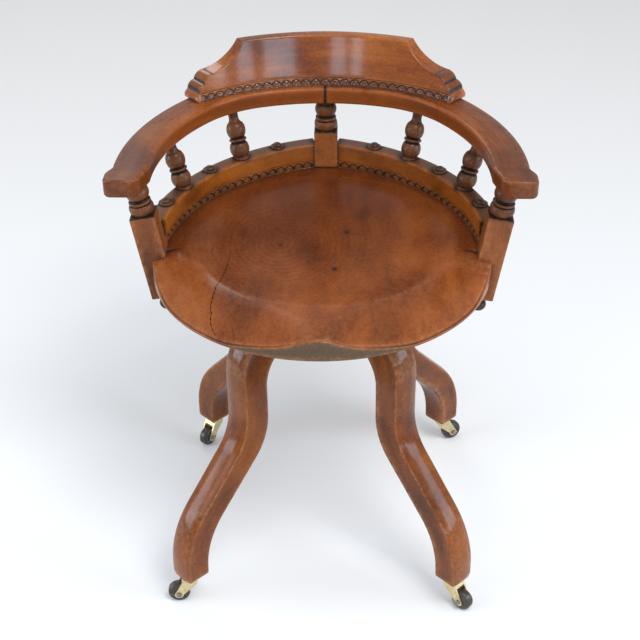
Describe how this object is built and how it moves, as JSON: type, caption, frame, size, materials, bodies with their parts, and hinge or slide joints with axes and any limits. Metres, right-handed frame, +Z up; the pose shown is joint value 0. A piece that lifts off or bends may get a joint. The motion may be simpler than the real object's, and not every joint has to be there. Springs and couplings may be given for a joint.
{
  "type": "bankers swivel chair",
  "caption": "Wooden desk armchair: a round dished seat turns and lifts on a screw over four curved legs with castors; low bowed arm rail with turned spindles and a shaped crest.",
  "frame": {"origin": "on the floor under the swivel axis", "axes": "+Z up, the sitter faces -Y, +X to the viewer's right from the front"},
  "size_m": [0.571, 0.506, 0.7],
  "materials": {
    "polished_wood": "dark red-brown, French polished, worn at its edges",
    "seat_wood": "lighter, sat-on polish with two cracks",
    "dowel_wood": "plain hardwood",
    "brass": "dull, dusty brass",
    "iron": "black japanned iron",
    "steel": "old steel",
    "wheel": "dark brown-black, dusty, worn rim"
  },
  "bodies": {
    "base": {"hub": "polished_wood", "leg_pegs": "dowel_wood", "collar": "iron", "collar_screws": "steel", "castor_screws": "steel", "leg_front_left": "polished_wood", "leg_front_right": "polished_wood", "leg_rear_right": "polished_wood", "leg_rear_left": "polished_wood", "castor_plate_front_left": "brass", "castor_plate_front_right": "brass", "castor_plate_rear_right": "brass", "castor_plate_rear_left": "brass"},
    "hand_nut": {"hand_nut": "iron"},
    "screw_post": {"screw_post": "iron", "thrust_washer": "iron", "retainer": "iron"},
    "castor_front_left": {"castor_horn_front_left": "brass", "castor_axle_front_left": "brass"},
    "wheel_front_left": {"castor_wheel_front_left": "wheel"},
    "castor_front_right": {"castor_horn_front_right": "brass", "castor_axle_front_right": "brass"},
    "wheel_front_right": {"castor_wheel_front_right": "wheel"},
    "castor_rear_right": {"castor_horn_rear_right": "brass", "castor_axle_rear_right": "brass"},
    "wheel_rear_right": {"castor_wheel_rear_right": "wheel"},
    "castor_rear_left": {"castor_horn_rear_left": "brass", "castor_axle_rear_left": "brass"},
    "wheel_rear_left": {"castor_wheel_rear_left": "wheel"},
    "seat": {"arm_joint_dowels": "dowel_wood", "arm_left": "polished_wood", "arm_right": "polished_wood", "button_back_left": "polished_wood", "button_back_right": "polished_wood", "button_front_left": "polished_wood", "button_front_right": "polished_wood", "button_mid_left": "polished_wood", "button_mid_right": "polished_wood", "centre_post": "polished_wood", "crest_dowels": "dowel_wood", "crest_rail": "polished_wood", "front_post_left": "polished_wood", "front_post_right": "polished_wood", "gallery_rail_left": "polished_wood", "gallery_rail_right": "polished_wood", "post_plugs": "dowel_wood", "post_screws": "steel", "rail_screws": "steel", "seat": "seat_wood", "spider": "iron", "spider_screws": "steel", "spindle_rear_left": "polished_wood", "spindle_rear_right": "polished_wood", "spindle_side_left": "polished_wood", "spindle_side_right": "polished_wood"}
  },
  "joints": [
    {"name": "nut_turn", "type": "hinge", "parent": "base", "child": "hand_nut", "pos_m": [0, 0, 0.43], "axis": [0, 0, -1], "range_deg": [0, 3600]},
    {"name": "seat_rise", "type": "slide", "parent": "base", "child": "screw_post", "axis": [0, 0, 1], "range_m": [0, 0.06]},
    {"name": "seat_swivel", "type": "hinge", "parent": "screw_post", "child": "seat", "pos_m": [0, 0, 0.45], "axis": [0, 0, 1], "continuous": true},
    {"name": "castor_swivel_front_left", "type": "hinge", "parent": "base", "child": "castor_front_left", "pos_m": [-0.19021, -0.19021, 0.045], "axis": [0, 0, 1], "continuous": true},
    {"name": "wheel_spin_front_left", "type": "hinge", "parent": "castor_front_left", "child": "wheel_front_left", "pos_m": [-0.20914, -0.19187, 0.016], "axis": [0.0872, -0.9962, 0], "continuous": true},
    {"name": "castor_swivel_front_right", "type": "hinge", "parent": "base", "child": "castor_front_right", "pos_m": [0.19021, -0.19021, 0.045], "axis": [0, 0, 1], "continuous": true},
    {"name": "wheel_spin_front_right", "type": "hinge", "parent": "castor_front_right", "child": "wheel_front_right", "pos_m": [0.20455, -0.20268, 0.016], "axis": [0.6561, 0.7547, 0], "continuous": true},
    {"name": "castor_swivel_rear_right", "type": "hinge", "parent": "base", "child": "castor_rear_right", "pos_m": [0.19021, 0.19021, 0.045], "axis": [0, 0, 1], "continuous": true},
    {"name": "wheel_spin_rear_right", "type": "hinge", "parent": "castor_rear_right", "child": "wheel_rear_right", "pos_m": [0.20743, 0.19824, 0.016], "axis": [-0.4226, 0.9063, 0], "continuous": true},
    {"name": "castor_swivel_rear_left", "type": "hinge", "parent": "base", "child": "castor_rear_left", "pos_m": [-0.19021, 0.19021, 0.045], "axis": [0, 0, 1], "continuous": true},
    {"name": "wheel_spin_rear_left", "type": "hinge", "parent": "castor_rear_left", "child": "wheel_rear_left", "pos_m": [-0.20138, 0.17484, 0.016], "axis": [0.809, -0.5878, 0], "continuous": true}
  ],
  "couplings": [
    {"joint": "nut_turn", "follows": "seat_rise", "rad_per_m": 1047.2}
  ]
}
